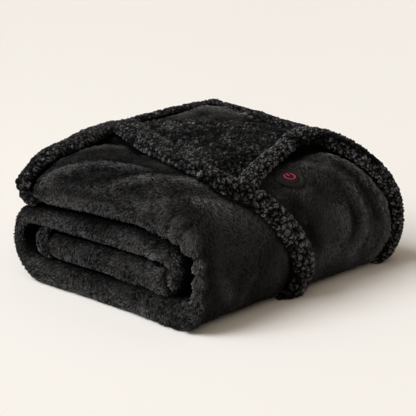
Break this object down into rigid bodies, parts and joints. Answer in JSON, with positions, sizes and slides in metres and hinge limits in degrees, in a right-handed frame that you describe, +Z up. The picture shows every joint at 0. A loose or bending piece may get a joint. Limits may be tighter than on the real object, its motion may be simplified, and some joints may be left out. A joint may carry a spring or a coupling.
{
  "type": "wearable heated blanket",
  "caption": "Wearable heated blanket of plush cloth with fleecy borders, folded and rolled into a thick soft loaf with a round control button on its front.",
  "frame": {"origin": "middle of the underside of the folded blanket's bounding box", "axes": "+Z up, +Y along the roll away from the end that shows its layers, +X towards the big front bend with the strip and the button"},
  "size_m": [0.3862, 0.4632, 0.2203],
  "materials": {
    "plush": "short dense plush pile, matt",
    "fleece": "curled fleece pile, matt",
    "fleece_lining": "curled fleece pile, matt",
    "button": "soft matt cover",
    "lit_mark": "lit from behind"
  },
  "bodies": {
    "root": {"plush_roll": "plush", "right_border": "fleece", "left_arm": "fleece", "front_strip": "fleece", "back_border": "fleece", "back_rim": "fleece", "core_rim": "fleece", "lining": "fleece_lining", "button_patch": "button", "mark_ring": "lit_mark", "mark_bar": "lit_mark"}
  },
  "joints": []
}
